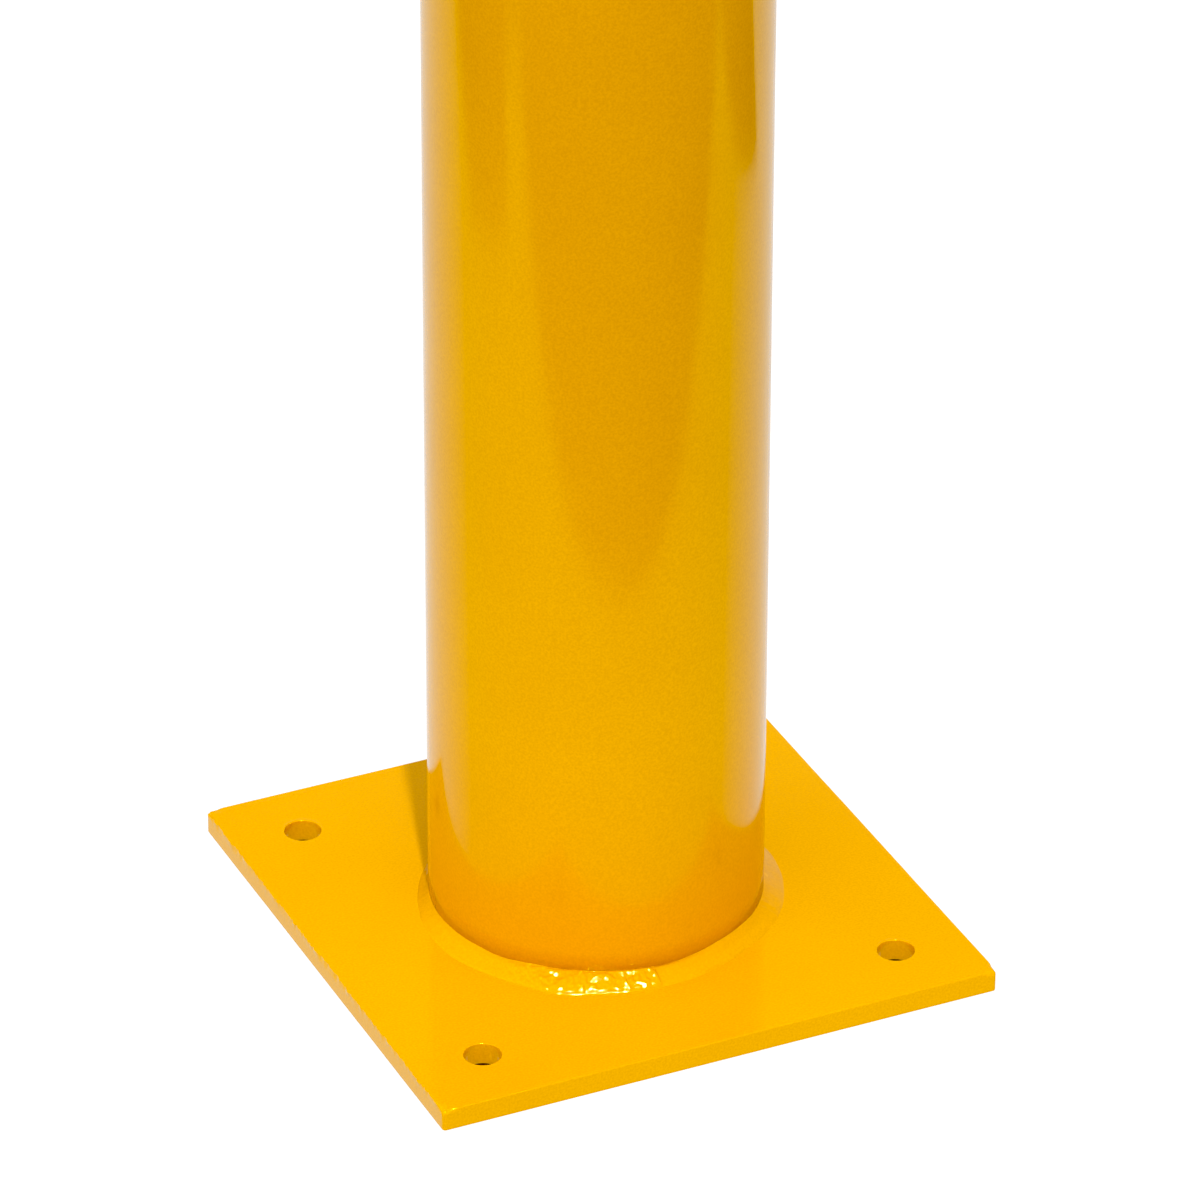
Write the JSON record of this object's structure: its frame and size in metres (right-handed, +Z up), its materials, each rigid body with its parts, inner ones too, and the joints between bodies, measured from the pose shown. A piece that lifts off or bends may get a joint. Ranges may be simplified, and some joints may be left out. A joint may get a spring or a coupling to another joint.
{
  "type": "steel safety bollard",
  "caption": "Upright round steel post welded to a square bolt-down base plate, with a push-in rubber top cap; stops vehicles hitting walls, racks and doors.",
  "frame": {"origin": "centre of the base plate's underside, on the floor", "axes": "+Z up along the post's axis; +X and +Y square to the plate's sides; -Y is the side that faces the viewer most"},
  "size_m": [0.2032, 0.2032, 0.9284],
  "materials": {
    "powder_coated_steel": "glossy safety yellow powder coat with fine orange peel, over mill-finish steel",
    "moulded_rubber": "satin moulded black rubber"
  },
  "bodies": {
    "post": {"base_plate": "powder_coated_steel", "post_pipe": "powder_coated_steel", "base_weld": "powder_coated_steel"},
    "cap": {"top_cap": "moulded_rubber"}
  },
  "joints": [
    {"name": "cap_lift", "type": "slide", "parent": "post", "child": "cap", "axis": [0, 0, 1], "range_m": [0, 0.16]}
  ]
}
